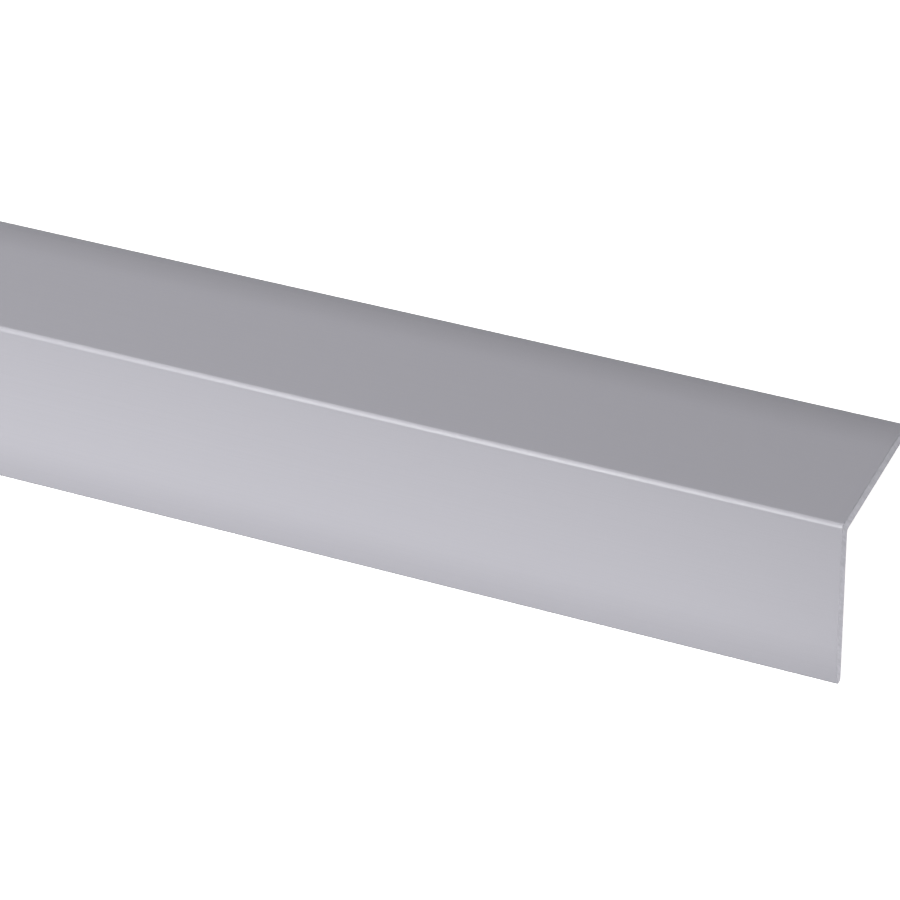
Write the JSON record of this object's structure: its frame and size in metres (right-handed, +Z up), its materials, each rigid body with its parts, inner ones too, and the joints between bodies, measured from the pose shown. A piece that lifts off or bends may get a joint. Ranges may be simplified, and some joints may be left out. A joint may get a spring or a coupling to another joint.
{
  "type": "self-adhesive plastic corner profile",
  "caption": "Straight extruded plastic corner angle with equal flanges, feathered free edges and peel-off adhesive strips inside, for covering and protecting outside corners.",
  "frame": {"origin": "floor level under the middle of the profile, midway between its two free edges", "axes": "+X along the profile, +Y towards the rear flange, +Z up through the outer corner, as the piece lies on both free edges with its corner up"},
  "size_m": [1, 0.0272, 0.0148],
  "materials": {
    "silver_pvc": "satin silver-grey extruded PVC",
    "adhesive_tape": "milky acrylic double-sided tape",
    "release_liner": "smooth siliconised paper"
  },
  "bodies": {
    "root": {"corner_profile": "silver_pvc", "front_tape": "adhesive_tape", "rear_tape": "adhesive_tape", "front_liner": "release_liner", "rear_liner": "release_liner"}
  },
  "joints": []
}
